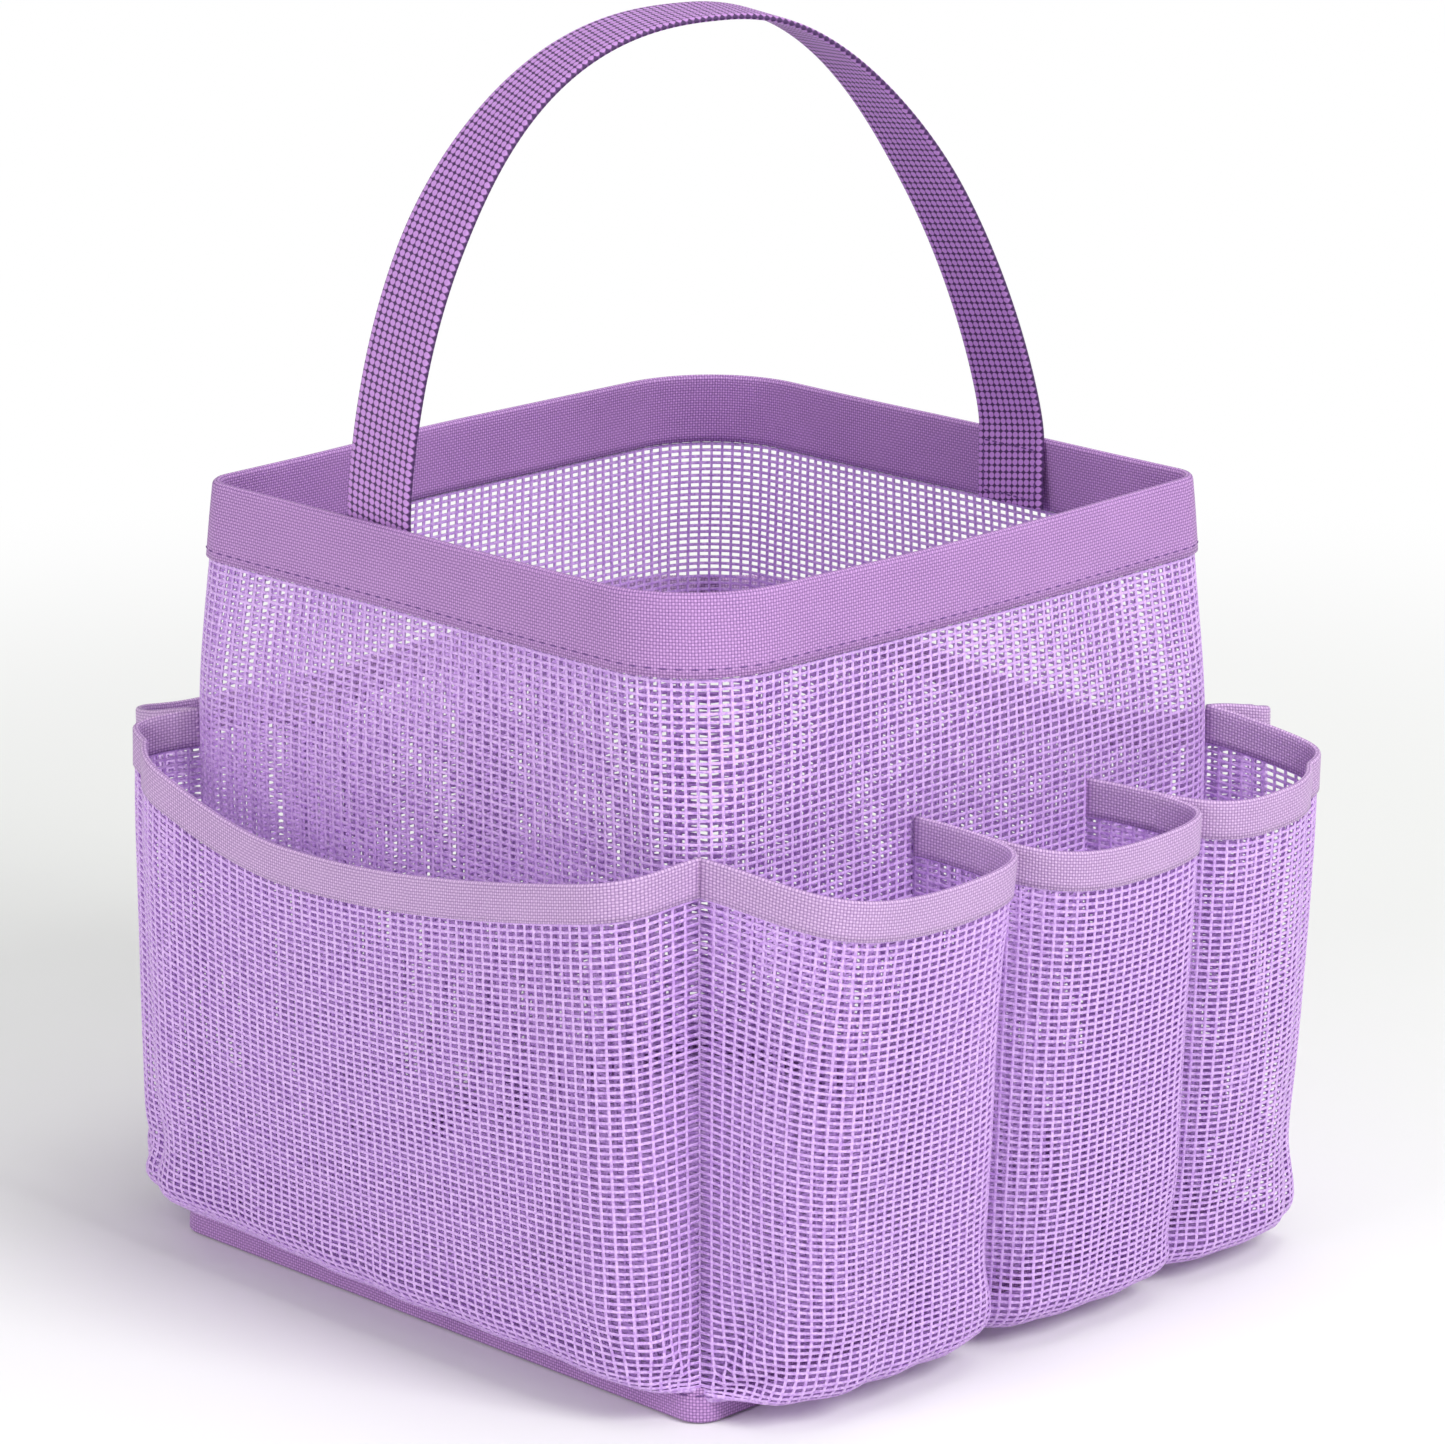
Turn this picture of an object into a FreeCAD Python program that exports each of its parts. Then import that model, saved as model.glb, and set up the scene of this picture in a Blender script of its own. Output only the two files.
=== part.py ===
import FreeCAD, Part
import math
import os
import Sketcher

# Mesh shower caddy: a square tote of coated mesh, open at the top, with a folded woven
# band round the rim, a woven binding round the base, eight mesh pockets outside and one
# webbing handle. Millimetres. Z is up, X runs along the wide front pocket, and the
# origin is the middle of the base, on the surface that the caddy stands on.

doc = FreeCAD.newDocument("shower_caddy")
sheet = doc.addObject("Spreadsheet::Sheet", "Sizes")


# ---------------------------------------------------------------- sizes

DRIVING_SIZES = {
    # body
    "lower_width": 214.0,         # X, outside of the straight lower wall
    "lower_depth": 218.0,         # Y, outside of the straight lower wall
    "top_width": 196.0,           # X, outside of the wall at the rim
    "top_depth": 204.0,           # Y, outside of the wall at the rim
    "body_height": 225.0,
    "straight_height": 160.0,     # above this the walls lean inwards
    "lower_corner": 22.0,
    "top_corner": 26.0,
    "mesh_thickness": 1.0,
    "tape_thickness": 0.8,
    "band_height": 21.0,
    "binding_height": 10.0,
    # pockets
    "pocket_floor": 2.0,
    "pocket_tuck": 10.0,          # how far a pocket's outline starts inside the wall
    "wide_bulge": 21.0,
    "wide_bulge_low": 14.0,
    "wide_round": 18.0,
    "wide_round_low": 12.0,
    "wide_scoop": 20.0,
    "narrow_bulge": 38.0,
    "narrow_bulge_low": 26.0,
    "narrow_round": 30.0,
    "narrow_round_low": 22.0,
    "narrow_scoop": 8.0,
    "first_divider": -26.0,       # along the side wall, from its middle
    "second_divider": 44.0,
    "seam_drop": 2.0,             # from the wall's bend down to where the hems meet it
    "hem_height": 10.0,
    "hem_proud": 0.4,             # how far a hem stands out from its mesh
    # handle
    "strap_width": 25.0,
    "strap_thickness": 1.6,
    "handle_shift": 27.0,         # each end, along the wall, from the wall's middle
    "handle_rise": 134.0,         # from the body's top to the top of the arch
    "crown_radius": 84.0,
    "tab_rise": 1.0,              # the sewn end stands this far above the body
    "flex_gap": 0.3,              # between the sewn end and the swinging strap
    "seat_gap": 0.2,              # between the sewn end and the band
    # thread
    "thread_width": 0.8,
    "thread_proud": 0.4,
    "thread_lift": 0.1,           # between a tape and a line of thread round it
    "stitch_margin": 2.5,         # from a tape's edge to its stitch line
    "tack_size": 2.2,
    "tack_height": 9.0,
}


class Size:
    """A length with the sheet formula that gives it, so that both are written once."""

    def __init__(self, value, formula):
        self.value = value
        self.formula = formula

    def __add__(self, other):
        other = as_size(other)
        return Size(self.value + other.value, f"({self.formula} + {other.formula})")

    def __sub__(self, other):
        other = as_size(other)
        return Size(self.value - other.value, f"({self.formula} - {other.formula})")

    def __mul__(self, other):
        other = as_size(other)
        return Size(self.value * other.value, f"({self.formula} * {other.formula})")

    def __truediv__(self, other):
        other = as_size(other)
        return Size(self.value / other.value, f"({self.formula} / {other.formula})")

    def __neg__(self):
        return Size(-self.value, f"(-1 * {self.formula})")


def as_size(number):
    """A Size from a plain number or from a Size."""
    return number if isinstance(number, Size) else Size(float(number), repr(float(number)))


def root(size):
    """The square root of a Size."""
    return Size(math.sqrt(size.value), f"sqrt({size.formula})")


def smaller(first, second):
    """The smaller of two Sizes."""
    return Size(min(first.value, second.value), f"min({first.formula}; {second.formula})")


def angle_of(rise, run):
    """The angle in degrees whose tangent is rise over run."""
    degrees = math.degrees(math.atan2(rise.value, run.value))
    return Size(degrees, f"atan2({rise.formula}; {run.formula})")


def fill_sheet():
    """Write the driving sizes to the sheet and return them by name."""
    named = {}
    for row, (alias, value) in enumerate(DRIVING_SIZES.items(), start=1):
        sheet.set(f"A{row}", alias)
        sheet.set(f"B{row}", str(value))
        sheet.setAlias(f"B{row}", alias)
        named[alias] = Size(value, f"Sizes.{alias}")
    doc.recompute()
    return named


size = fill_sheet()
seam_top = size["straight_height"] - size["seam_drop"]


# ---------------------------------------------------------------- feature helpers

ORIGIN = -1       # a sketch's own origin, as its constraints number it


def bind(thing, prop, length):
    """Set a length property now and tie it to the sheet."""
    setattr(thing, prop, length.value)
    thing.setExpression(prop, length.formula)


def new_body(label):
    """A PartDesign body that becomes the node of that name."""
    body = doc.addObject("PartDesign::Body", label)
    body.Label = label
    return body


def origin_plane(body, role):
    """One of the body's own origin planes."""
    return next(plane for plane in body.Origin.OriginFeatures if plane.Role == role)


def new_sketch(body, name, role="XY_Plane", height=None):
    """An empty sketch on one of the body's planes, lifted off it by height."""
    sketch = body.newObject("Sketcher::SketchObject", name)
    sketch.AttachmentSupport = (origin_plane(body, role), "")
    sketch.MapMode = "FlatFace"
    if height is not None:
        lift = FreeCAD.Vector(0, 0, height.value)
        sketch.AttachmentOffset = FreeCAD.Placement(lift, FreeCAD.Rotation())
        sketch.setExpression("AttachmentOffset.Base.z", height.formula)
    return sketch


def hold_point(sketch, geometry, end, x, y):
    """Tie one end of a sketch line or arc to the sheet."""
    for kind, length in (("DistanceX", x), ("DistanceY", y)):
        place = Sketcher.Constraint(kind, ORIGIN, 1, geometry, end, length.value)
        index = sketch.addConstraint(place)
        sketch.setExpression(f"Constraints[{index}]", length.formula)


def hold_radius(sketch, geometry, radius):
    """Tie an arc's radius to the sheet."""
    index = sketch.addConstraint(Sketcher.Constraint("Radius", geometry, radius.value))
    sketch.setExpression(f"Constraints[{index}]", radius.formula)


def join_ends(sketch, first, second):
    """Make the end of one sketch line or arc the start of the next."""
    sketch.addConstraint(Sketcher.Constraint("Coincident", first, 2, second, 1))


def point(x, y):
    """A sketch point from two Sizes."""
    return FreeCAD.Vector(x.value, y.value, 0)


def draw_polygon(sketch, corners):
    """Draw a closed polygon of (x, y) Sizes."""
    count = len(corners)
    for index, (x, y) in enumerate(corners):
        sketch.addGeometry(Part.LineSegment(point(x, y), point(*corners[(index + 1) % count])), False)
    for index, (x, y) in enumerate(corners):
        hold_point(sketch, index, 1, x, y)
        join_ends(sketch, index, (index + 1) % count)


def draw_rounded(sketch, corners):
    """Draw a closed outline with level and upright sides, given anticlockwise.

    corners is a list of (x, y, radius), with a radius of None where the corner is sharp.
    """
    count = len(corners)
    ends = []
    for index, (x, y, radius) in enumerate(corners):
        before, after = corners[index - 1], corners[(index + 1) % count]
        if radius is None:
            ends.append(((x, y), (x, y)))
            continue
        into = (sign(x.value - before[0].value), sign(y.value - before[1].value))
        out = (sign(after[0].value - x.value), sign(after[1].value - y.value))
        start = (x - radius * into[0], y - radius * into[1])
        finish = (x + radius * out[0], y + radius * out[1])
        ends.append((start, finish))
    edges = []
    for index, (x, y, radius) in enumerate(corners):
        start, finish = ends[index]
        if radius is not None:
            middle = rounded_middle(start, finish, (x, y), radius)
            arc = Part.Arc(point(*start), middle, point(*finish))
            edges.append((sketch.addGeometry(arc, False), start, radius))
        beyond = ends[(index + 1) % count][0]
        line = Part.LineSegment(point(*finish), point(*beyond))
        edges.append((sketch.addGeometry(line, False), finish, None))
    for order, (geometry, start, radius) in enumerate(edges):
        hold_point(sketch, geometry, 1, *start)
        join_ends(sketch, geometry, edges[(order + 1) % len(edges)][0])
        if radius is not None:
            hold_radius(sketch, geometry, radius)


def sign(number):
    """Minus one, nought or one."""
    return (number > 1e-6) - (number < -1e-6)


def rounded_middle(start, finish, corner, radius):
    """The middle of the arc that rounds a square corner."""
    centre = point(*start) + point(*finish) - point(*corner)
    outward = (point(*corner) - centre).normalize()
    return centre + outward * radius.value


def loft(body, kind, name, profiles):
    """Add or take away the straight-sided solid between two outlines."""
    feature = body.newObject(f"PartDesign::{kind}Loft", name)
    feature.Profile = profiles[0]
    feature.Sections = profiles[1:]
    feature.Ruled = True
    return feature


def cut_through(body, name, sketch):
    """Take away a sketch's area right through the body, both ways."""
    pocket = body.newObject("PartDesign::Pocket", name)
    pocket.Profile = sketch
    pocket.Type = "ThroughAll"
    pocket.SideType = "Symmetric"
    return pocket


def pad(body, name, sketch, length, symmetric=False):
    """Extrude a sketch."""
    feature = body.newObject("PartDesign::Pad", name)
    feature.Profile = sketch
    if symmetric:
        feature.SideType = "Symmetric"
    bind(feature, "Length", length)
    return feature


# ---------------------------------------------------------------- the wall's own form

BODY_SIDES = {"width": ("lower_width", "top_width"), "depth": ("lower_depth", "top_depth")}


def wall_half(direction, height):
    """Half the wall's outside width or depth at a height."""
    lower, top = (size[name] for name in BODY_SIDES[direction])
    if height.value <= size["straight_height"].value:
        return lower / 2
    return lower / 2 + (top - lower) / 2 * lean_share(height)


def wall_corner(height):
    """The wall's outside corner radius at a height."""
    if height.value <= size["straight_height"].value:
        return size["lower_corner"]
    return size["lower_corner"] + (size["top_corner"] - size["lower_corner"]) * lean_share(height)


def lean_share(height):
    """How far up the leaning part of the wall a height is, from 0 to 1."""
    return (height - size["straight_height"]) / (size["body_height"] - size["straight_height"])


def ring_outline(body, name, height, offset, drawn_at=None):
    """The wall's outline at a height, moved outwards by offset.

    drawn_at gives the sketch another height than the one whose outline it takes.
    """
    half_x = wall_half("width", height) + offset
    half_y = wall_half("depth", height) + offset
    radius = wall_corner(height) + offset
    sketch = new_sketch(body, name, height=drawn_at or height)
    corners = [(half_x, half_y), (-half_x, half_y), (-half_x, -half_y), (half_x, -half_y)]
    draw_rounded(sketch, [(x, y, radius) for x, y in corners])
    return sketch


def loft_wall(body, kind, name, low, high, offset, drawn_high=None):
    """Add or take away everything inside the wall's outline between two heights."""
    lower = ring_outline(body, f"{name}_low", low, offset)
    upper = ring_outline(body, f"{name}_high", high, offset, drawn_high)
    return loft(body, kind, name, [lower, upper])


def make_ring(label, low, high, outer, inner):
    """A closed band that follows the wall between two heights."""
    body = new_body(label)
    loft_wall(body, "Additive", "outside", low, high, outer)
    loft_wall(body, "Subtractive", "inside", low, high, inner)
    return body


# ---------------------------------------------------------------- body

def make_wall_mesh():
    """The mesh wall, one strip wrapped round the four sides."""
    body = new_body("wall_mesh")
    bottom, bend, rim = size["mesh_thickness"], size["straight_height"], size["body_height"]
    none = as_size(0)
    loft_wall(body, "Additive", "lower_outside", bottom, bend, none)
    loft_wall(body, "Additive", "upper_outside", bend, rim, none)
    loft_wall(body, "Subtractive", "lower_inside", bottom, bend, -size["mesh_thickness"])
    loft_wall(body, "Subtractive", "upper_inside", bend, rim, -size["mesh_thickness"])


def make_base_mesh():
    """The mesh bottom, which lies on the surface."""
    body = new_body("base_mesh")
    outline = ring_outline(body, "outline", as_size(0), as_size(0))
    pad(body, "sheet", outline, size["mesh_thickness"])


def make_rim_band():
    """The woven tape folded over the rim: an outer leg, a top and an inner leg."""
    body = new_body("rim_band")
    low, rim = band_bottom, size["body_height"]
    tape, mesh = size["tape_thickness"], size["mesh_thickness"]
    loft_wall(body, "Additive", "outside", low, rim, tape, rim + tape)
    loft_wall(body, "Subtractive", "wall_outside", low, rim, as_size(0))
    loft_wall(body, "Additive", "wall_inside", low, rim, -mesh)
    cover = ring_outline(body, "cover_outline", rim, as_size(0))
    pad(body, "cover", cover, tape)
    loft_wall(body, "Subtractive", "inside", low, rim, -(mesh + tape), rim + tape)


band_bottom = size["body_height"] - size["band_height"]


def make_rings():
    """The base binding and the two visible rings of thread."""
    tape, thread = size["tape_thickness"], size["thread_width"]
    near, far = tape + size["thread_lift"], tape + size["thread_proud"]
    make_ring("base_binding", as_size(0), size["binding_height"], tape, as_size(0))
    stitch = size["binding_height"] - size["stitch_margin"]
    make_ring("base_binding_stitching", stitch, stitch + thread, far, near)
    stitch = band_bottom + size["stitch_margin"]
    make_ring("rim_band_stitching", stitch, stitch + thread, far, near)


# ---------------------------------------------------------------- pockets

SEAM_SHARE = 1 - math.sqrt(0.5)   # how far a corner's middle lies inside its square corner
ROUND_SHARE = 0.49                # the most of a pocket's width that one round may take
SCOOP_MARGIN = 2.0                # how far the hem's curve runs on past each seam


class Side:
    """One side of the caddy, seen from outside with its wall facing local -Y."""

    def __init__(self, name, turn, run, reach):
        self.name = name
        self.turn = turn
        self.half_run = size[run] / 2         # half the wall's length along local X
        self.half_reach = size[reach] / 2     # from the middle to the wall
        self.seam = self.half_run - size["lower_corner"] * SEAM_SHARE


class Pouch:
    """The form of one pocket: its two seams, its bulge and the scoop of its hem."""

    def __init__(self, label, side, left, right, style):
        self.label = label
        self.side = side
        self.left = left
        self.right = right
        self.bulge = {"top": size[f"{style}_bulge"], "low": size[f"{style}_bulge_low"]}
        self.round = {"top": size[f"{style}_round"], "low": size[f"{style}_round_low"]}
        self.scoop = size[f"{style}_scoop"]

    def outline(self, body, name, level, height, front_in, side_in):
        """The pocket's outline at one level, moved in at its front and at its sides."""
        left, right = self.left + side_in, self.right - side_in
        front = -(self.side.half_reach + self.bulge[level] - front_in)
        back = -(self.side.half_reach - size["pocket_tuck"] - side_in)
        room = (self.right - self.left) * ROUND_SHARE
        radius = smaller(self.round[level], room) - side_in
        sketch = new_sketch(body, name, height=height)
        draw_rounded(sketch, [(right, back, None), (left, back, None),
                              (left, front, radius), (right, front, radius)])
        return sketch

    def fill(self, body, kind, name, floor, front_in, side_in):
        """Add or take away the pocket's whole form, from its floor to above its hem."""
        low = self.outline(body, f"{name}_low", "low", floor, front_in, side_in)
        top = self.outline(body, f"{name}_top", "top", size["straight_height"], front_in, side_in)
        loft(body, kind, name, [low, top])

    def clear_body(self, body):
        """Take away what lies inside the wall, and inside the binding below its top."""
        cut_through(body, "wall_clearance", self.body_outline(body, "wall", as_size(0)))
        binding = size["tape_thickness"] + size["thread_proud"]
        cut = body.newObject("PartDesign::Pocket", "binding_clearance")
        cut.Profile = self.body_outline(body, "binding", binding)
        cut.Reversed = True
        bind(cut, "Length", size["binding_height"])

    def body_outline(self, body, name, offset):
        """The straight lower wall's outline as this side sees it, moved outwards by offset."""
        half_x, half_y = self.side.half_run + offset, self.side.half_reach + offset
        radius = size["lower_corner"] + offset
        corners = [(half_x, half_y), (-half_x, half_y), (-half_x, -half_y), (half_x, -half_y)]
        sketch = new_sketch(body, f"{name}_outline", height=as_size(0))
        draw_rounded(sketch, [(x, y, radius) for x, y in corners])
        return sketch

    def scoop_curve(self, body, name, end_height, keep_below):
        """Trim along the sagging line of the hem, keeping what is below or above it."""
        sketch = new_sketch(body, name, "XZ_Plane")
        left, right = self.left - SCOOP_MARGIN, self.right + SCOOP_MARGIN
        half = (right - left) / 2
        radius = (half * half + self.scoop * self.scoop) / (self.scoop * 2)
        lowest = FreeCAD.Vector(((left + right) / 2).value, (end_height - self.scoop).value, 0)
        far = size["straight_height"] * 2 if keep_below else -size["straight_height"]
        arc = Part.Arc(point(left, end_height), lowest, point(right, end_height))
        draw_arc_region(sketch, arc, radius, (left, end_height), (right, end_height), far)
        cut_through(body, f"{name}_cut", sketch)

    def place(self, body):
        """Turn the pocket to its own side."""
        up = FreeCAD.Vector(0, 0, 1)
        body.Placement = FreeCAD.Placement(FreeCAD.Vector(), FreeCAD.Rotation(up, self.side.turn))

    def make_mesh(self):
        """The pocket's mesh: bulging front, floor and two sides, open to the wall."""
        body = new_body(f"{self.label}_mesh")
        mesh, floor = size["mesh_thickness"], size["pocket_floor"]
        none = as_size(0)
        self.fill(body, "Additive", "outside", floor, none, none)
        self.fill(body, "Subtractive", "inside", floor + mesh, mesh, mesh)
        self.clear_body(body)
        self.scoop_curve(body, "mesh_top", seam_top - size["hem_height"], True)
        self.place(body)

    def make_hem(self):
        """The folded tape along the pocket's mouth."""
        body = new_body(f"{self.label}_hem")
        mesh, floor, proud = size["mesh_thickness"], size["pocket_floor"], size["hem_proud"]
        self.fill(body, "Additive", "outside", floor, -proud, as_size(0))
        self.fill(body, "Subtractive", "inside", floor, mesh + proud, mesh + proud)
        self.clear_body(body)
        self.scoop_curve(body, "hem_top", seam_top, True)
        self.scoop_curve(body, "hem_bottom", seam_top - size["hem_height"], False)
        self.place(body)


def draw_arc_region(sketch, arc, radius, left, right, far):
    """Close an arc with three lines that run off to a far height."""
    corners = [right, (right[0], far), (left[0], far), left]
    sketch.addGeometry(arc, False)
    for start, finish in zip(corners, corners[1:]):
        sketch.addGeometry(Part.LineSegment(point(*start), point(*finish)), False)
    starts = [left] + corners[:3]
    for geometry, (x, y) in enumerate(starts):
        hold_point(sketch, geometry, 1, x, y)
        join_ends(sketch, geometry, (geometry + 1) % len(starts))
    hold_radius(sketch, 0, radius)


FRONT = Side("front", 0, "lower_width", "lower_depth")
RIGHT = Side("right", 90, "lower_depth", "lower_width")
BACK = Side("back", 180, "lower_width", "lower_depth")
LEFT = Side("left", 270, "lower_depth", "lower_width")


def make_pockets():
    """One wide pocket on the front and the back, and three narrow ones on each side."""
    pouches = []
    for side in (FRONT, BACK):
        pouches.append(Pouch(f"{side.name}_pocket", side, -side.seam, side.seam, "wide"))
    for side in (RIGHT, LEFT):
        seams = [-side.seam, size["first_divider"], size["second_divider"], side.seam]
        for number, (left, right) in enumerate(zip(seams, seams[1:]), start=1):
            pouches.append(Pouch(f"{side.name}_pocket_{number}", side, left, right, "narrow"))
    for pouch in pouches:
        pouch.make_mesh()
        pouch.make_hem()


def make_block(body, name, x, y, low, high):
    """Add an upright block from (start, end) Sizes along x and y."""
    sketch = new_sketch(body, f"{name}_outline", height=low)
    draw_polygon(sketch, [(x[0], y[0]), (x[1], y[0]), (x[1], y[1]), (x[0], y[1])])
    return pad(body, name, sketch, high - low)


def join_as_node(label, members):
    """One node made of separate solids that are alike."""
    node = doc.addObject("Part::Compound", label)
    node.Label = label
    node.Links = members
    return node


def make_bar_tacks():
    """The four tacks that close the corners between neighbouring hems."""
    tacks = []
    for number, (side_x, side_y) in enumerate(((1, -1), (1, 1), (-1, 1), (-1, -1)), start=1):
        body = doc.addObject("PartDesign::Body", f"bar_tack_{number}")
        near_x, near_y = FRONT.seam * side_x, RIGHT.seam * side_y
        far_x, far_y = near_x + size["tack_size"] * side_x, near_y + size["tack_size"] * side_y
        xs = (near_x, far_x) if side_x > 0 else (far_x, near_x)
        ys = (near_y, far_y) if side_y > 0 else (far_y, near_y)
        high = seam_top
        make_block(body, "tack", xs, ys, high - size["tack_height"], high)
        tacks.append(body)
    join_as_node("pocket_bar_tacks", tacks)


def make_divider_threads():
    """The lines of thread inside the side walls that hold the pockets' inner seams."""
    threads = []
    inner = size["lower_width"] / 2 - size["mesh_thickness"]
    half = size["thread_width"] / 2
    for side, facing in ((RIGHT, 1), (LEFT, -1)):
        for divider in ("first_divider", "second_divider"):
            body = doc.addObject("PartDesign::Body", f"{side.name}_{divider}_thread")
            middle = size[divider] * facing
            far, near = inner * facing, (inner - size["thread_proud"]) * facing
            xs = (near, far) if facing > 0 else (far, near)
            low, high = size["mesh_thickness"], seam_top
            make_block(body, "thread", xs, (middle - half, middle + half), low, high)
            threads.append(body)
    join_as_node("pocket_divider_threads", threads)


# ---------------------------------------------------------------- handle

# The strap's two sewn ends lie against the inner leg of the rim band. They are shifted
# opposite ways along their walls, so the handle crosses the opening at a slight angle.
rim_top = size["body_height"] + size["tape_thickness"]
tab_top = rim_top + size["tab_rise"]
tab_face = (size["top_depth"] / 2 - size["mesh_thickness"] - size["tape_thickness"]
            - size["seat_gap"])
tab_middle = tab_face - size["strap_thickness"] / 2
half_span = root(size["handle_shift"] * size["handle_shift"] + tab_middle * tab_middle)
flex_height = tab_top + size["flex_gap"] + size["strap_width"] / 2


def make_handle_ends():
    """The sewn end of the strap at the front wall and at the back wall."""
    half = size["strap_width"] / 2
    for name, facing in (("front", -1), ("back", 1)):
        body = new_body(f"{name}_handle_end")
        middle = size["handle_shift"] * facing
        faces = (tab_face * facing, (tab_face - size["strap_thickness"]) * facing)
        ys = faces if facing < 0 else faces[::-1]
        make_block(body, "end", (middle - half, middle + half), ys, band_bottom, tab_top)
        make_end_stitching(name, facing, middle, faces[1])


def make_end_stitching(name, facing, middle, face):
    """The box of thread that sews a handle end down."""
    body = new_body(f"{name}_handle_stitching")
    half = size["strap_width"] / 2 - size["stitch_margin"]
    low, high = band_bottom + size["stitch_margin"], size["body_height"] - size["stitch_margin"]
    thread = size["thread_width"]
    proud = size["thread_proud"] * facing
    ys = (face, face - proud) if facing < 0 else (face - proud, face)
    left, right = middle - half, middle + half
    make_block(body, "left_line", (left, left + thread), ys, low, high)
    make_block(body, "right_line", (right - thread, right), ys, low, high)
    make_block(body, "low_line", (left, right), ys, low, low + thread)
    make_block(body, "high_line", (left, right), ys, high - thread, high)


def make_handle_strap():
    """The arched webbing, with round ends about the line that it swings on."""
    body = new_body("handle_strap")
    arch_top = size["body_height"] + size["handle_rise"]
    rise = arch_top - size["strap_thickness"] / 2 - flex_height
    crown = size["crown_radius"]
    drop = rise - crown
    shoulder = ((half_span * half_span + drop * drop - crown * crown)
                / ((half_span - crown) * 2))
    spine = new_sketch(body, "spine", "YZ_Plane")
    for geometry, arc in enumerate(arch_arcs(half_span, rise, crown, shoulder)):
        spine.addGeometry(arc, False)
    hold_point(spine, 0, 1, half_span, flex_height)
    hold_point(spine, 2, 2, -half_span, flex_height)
    hold_point(spine, 0, 3, half_span - shoulder, flex_height)
    hold_point(spine, 2, 3, shoulder - half_span, flex_height)
    hold_radius(spine, 1, crown)
    for first in (0, 1):
        spine.addConstraint(Sketcher.Constraint("Tangent", first, 2, first + 1, 1))
    section = new_sketch(body, "section", height=flex_height)
    half_width, half_thick = size["strap_width"] / 2, size["strap_thickness"] / 2
    near, far = -half_span - half_thick, -half_span + half_thick
    draw_polygon(section, [(-half_width, near), (half_width, near),
                           (half_width, far), (-half_width, far)])
    pipe = body.newObject("PartDesign::AdditivePipe", "arch")
    pipe.Profile = section
    pipe.Spine = (spine, ["Edge1", "Edge2", "Edge3"])
    for name, facing in (("front_round", 1), ("back_round", -1)):
        disc = new_sketch(body, f"{name}_disc", "XZ_Plane", half_span * facing)
        circle = Part.Circle(FreeCAD.Vector(0, flex_height.value, 0), FreeCAD.Vector(0, 0, 1),
                             half_width.value)
        disc.addGeometry(circle, False)
        hold_point(disc, 0, 3, as_size(0), flex_height)
        hold_radius(disc, 0, half_width)
        pad(body, name, disc, size["strap_thickness"], symmetric=True)
    turn = -angle_of(size["handle_shift"], tab_middle)
    up = FreeCAD.Vector(0, 0, 1)
    body.Placement = FreeCAD.Placement(FreeCAD.Vector(), FreeCAD.Rotation(up, turn.value))
    body.setExpression("Placement.Rotation.Angle", turn.formula)


def arch_arcs(span, rise, crown, shoulder):
    """Three tangent arcs over the opening: right shoulder, crown, left shoulder."""
    base = flex_height.value
    left_centre = FreeCAD.Vector(shoulder.value - span.value, base, 0)
    crown_centre = FreeCAD.Vector(0, base + rise.value - crown.value, 0)
    lean = math.atan2(crown_centre.y - base, crown_centre.x - left_centre.x)
    up = FreeCAD.Vector(0, 0, 1)
    left = Part.ArcOfCircle(Part.Circle(left_centre, up, shoulder.value), math.pi - lean, math.pi)
    top = Part.ArcOfCircle(Part.Circle(crown_centre, up, crown.value), lean, math.pi - lean)
    right_centre = FreeCAD.Vector(-left_centre.x, base, 0)
    right = Part.ArcOfCircle(Part.Circle(right_centre, up, shoulder.value), 0, lean)
    return [right, top, left]


# ---------------------------------------------------------------- build and write

def check_document(nodes):
    """Stop if any object failed or any node has no sound solid."""
    for thing in doc.Objects:
        if {"Invalid", "Error"} & set(thing.State):
            raise RuntimeError(f"{thing.Label} failed: {thing.State}")
    for node in nodes:
        if node.Shape.isNull() or not node.Shape.isValid() or not node.Shape.Solids:
            raise RuntimeError(f"{node.Label} has no sound shape")


def main():
    make_wall_mesh()
    make_base_mesh()
    make_rim_band()
    make_rings()
    make_pockets()
    make_bar_tacks()
    make_divider_threads()
    make_handle_ends()
    make_handle_strap()
    doc.recompute()
    compounds = doc.findObjects("Part::Compound")
    grouped = {member.Name for node in compounds for member in node.Links}
    bodies = [body for body in doc.findObjects("PartDesign::Body") if body.Name not in grouped]
    nodes = bodies + compounds
    check_document(nodes)
    os.makedirs("parts", exist_ok=True)
    for node in nodes:
        node.Shape.exportStep(f"parts/{node.Label}.step")
        box = node.Shape.BoundBox
        print(f"{node.Label}: {len(node.Shape.Solids)} solids, {node.Shape.Volume:.0f} mm3,",
              f"x {box.XMin:.1f} to {box.XMax:.1f}, y {box.YMin:.1f} to {box.YMax:.1f},",
              f"z {box.ZMin:.1f} to {box.ZMax:.1f}")


main()
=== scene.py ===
"""A square mesh shower caddy with a folded rim band, outside pockets and a webbing handle.

All lengths are in metres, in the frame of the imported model: Z is up, the origin is the
middle of the base, and the wide front pocket faces -Y.
"""

import bisect
import logging
import math
from dataclasses import dataclass, field
from enum import Enum
from typing import Callable, Sequence

import bmesh
import bpy
from mathutils import Matrix, Vector, noise


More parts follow.
